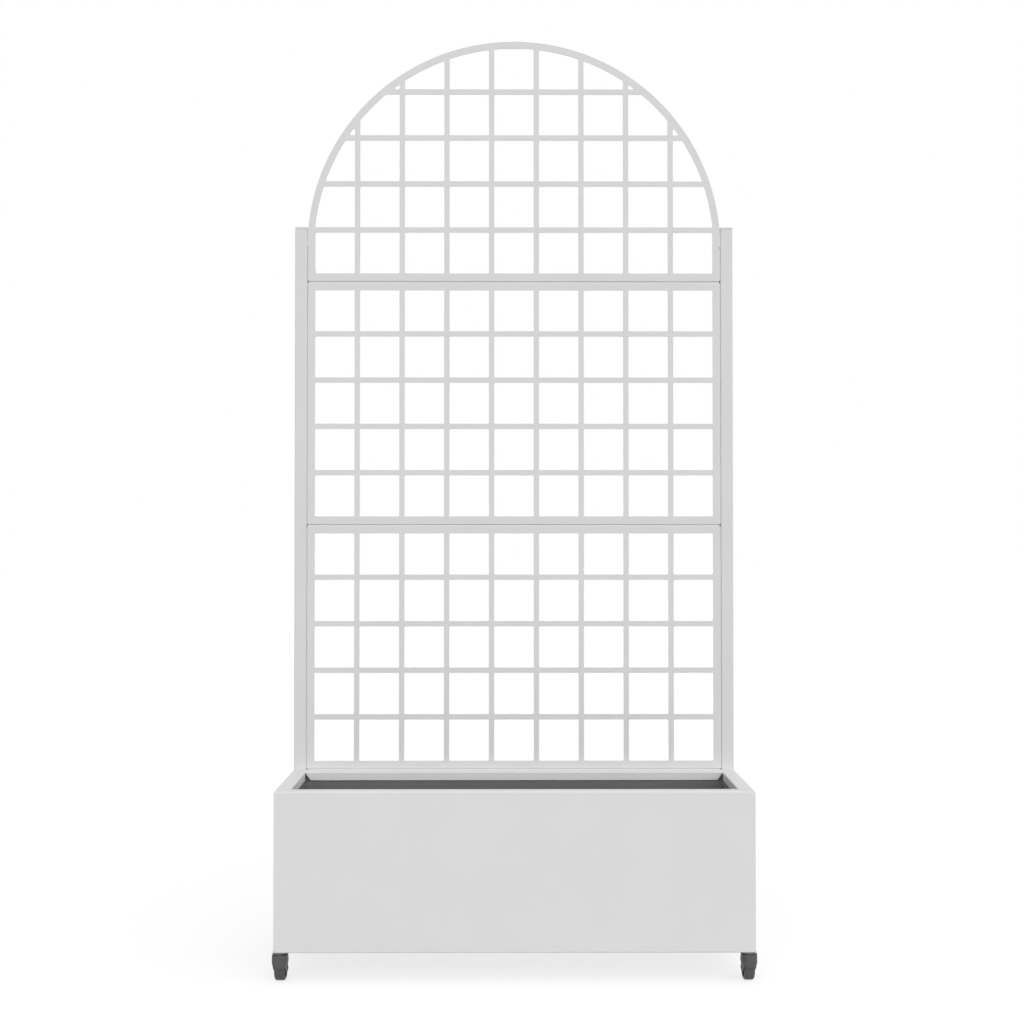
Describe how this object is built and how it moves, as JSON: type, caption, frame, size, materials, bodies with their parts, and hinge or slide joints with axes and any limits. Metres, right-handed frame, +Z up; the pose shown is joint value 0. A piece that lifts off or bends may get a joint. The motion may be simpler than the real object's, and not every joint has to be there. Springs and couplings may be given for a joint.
{
  "type": "trellis planter box",
  "caption": "Rectangular sheet-metal planter trough on swivel castors, with a lift-out liner and a tall arched square-grid trellis on posts behind it.",
  "frame": {"origin": "on the floor, under the centre of the whole object's box", "axes": "+X to the right seen from the front, +Y from the trough's front to the trellis behind it, +Z up"},
  "size_m": [0.9084, 0.2782, 1.8549],
  "materials": {
    "powder_coat": "satin light grey powder coat",
    "liner_plastic": "matte black moulded plastic",
    "castor_plastic": "matte dark grey nylon",
    "cap_plastic": "matte light grey plastic",
    "zinc_steel": "bright zinc plating"
  },
  "bodies": {
    "planter": {"arch_trellis_panel": "powder_coat", "back_panel": "powder_coat", "castor_stem_nuts": "zinc_steel", "castor_stem_washers": "zinc_steel", "castor_thrust_washers": "castor_plastic", "floor_panel": "powder_coat", "front_corner_nuts": "zinc_steel", "front_corner_studs": "zinc_steel", "front_left_castor_stem": "zinc_steel", "front_panel": "powder_coat", "front_right_castor_stem": "zinc_steel", "joint_bolts": "zinc_steel", "joint_nuts": "zinc_steel", "left_post": "powder_coat", "left_post_cap": "cap_plastic", "left_post_plug": "cap_plastic", "left_side_panel": "powder_coat", "lower_trellis_panel": "powder_coat", "middle_trellis_panel": "powder_coat", "panel_bolts": "zinc_steel", "panel_nuts": "zinc_steel", "post_bolts": "zinc_steel", "post_nuts": "zinc_steel", "rear_left_castor_stem": "zinc_steel", "rear_right_castor_stem": "zinc_steel", "right_post": "powder_coat", "right_post_cap": "cap_plastic", "right_post_plug": "cap_plastic", "right_side_panel": "powder_coat"},
    "liner": {"planting_liner": "liner_plastic", "liner_floor": "liner_plastic"},
    "front_left_swivel": {"front_left_castor_fork": "castor_plastic", "front_left_castor_axle": "zinc_steel"},
    "front_left_wheel": {"front_left_castor_wheel": "castor_plastic"},
    "front_right_swivel": {"front_right_castor_fork": "castor_plastic", "front_right_castor_axle": "zinc_steel"},
    "front_right_wheel": {"front_right_castor_wheel": "castor_plastic"},
    "rear_left_swivel": {"rear_left_castor_fork": "castor_plastic", "rear_left_castor_axle": "zinc_steel"},
    "rear_left_wheel": {"rear_left_castor_wheel": "castor_plastic"},
    "rear_right_swivel": {"rear_right_castor_fork": "castor_plastic", "rear_right_castor_axle": "zinc_steel"},
    "rear_right_wheel": {"rear_right_castor_wheel": "castor_plastic"}
  },
  "joints": [
    {"name": "liner_lift", "type": "slide", "parent": "planter", "child": "liner", "axis": [0, 0, 1], "range_m": [0, 0.32]},
    {"name": "front_left_castor_swivel", "type": "hinge", "parent": "planter", "child": "front_left_swivel", "pos_m": [-0.4402, -0.12415, 0.05], "axis": [0, 0, 1], "continuous": true},
    {"name": "front_left_wheel_roll", "type": "hinge", "parent": "front_left_swivel", "child": "front_left_wheel", "pos_m": [-0.4402, -0.10915, 0.0225], "axis": [1, 0, 0], "continuous": true},
    {"name": "front_right_castor_swivel", "type": "hinge", "parent": "planter", "child": "front_right_swivel", "pos_m": [0.4402, -0.12415, 0.05], "axis": [0, 0, 1], "continuous": true},
    {"name": "front_right_wheel_roll", "type": "hinge", "parent": "front_right_swivel", "child": "front_right_wheel", "pos_m": [0.4402, -0.10915, 0.0225], "axis": [1, 0, 0], "continuous": true},
    {"name": "rear_left_castor_swivel", "type": "hinge", "parent": "planter", "child": "rear_left_swivel", "pos_m": [-0.4402, 0.09585, 0.05], "axis": [0, 0, 1], "continuous": true},
    {"name": "rear_left_wheel_roll", "type": "hinge", "parent": "rear_left_swivel", "child": "rear_left_wheel", "pos_m": [-0.4402, 0.11085, 0.0225], "axis": [1, 0, 0], "continuous": true},
    {"name": "rear_right_castor_swivel", "type": "hinge", "parent": "planter", "child": "rear_right_swivel", "pos_m": [0.4402, 0.09585, 0.05], "axis": [0, 0, 1], "continuous": true},
    {"name": "rear_right_wheel_roll", "type": "hinge", "parent": "rear_right_swivel", "child": "rear_right_wheel", "pos_m": [0.4402, 0.11085, 0.0225], "axis": [1, 0, 0], "continuous": true}
  ]
}
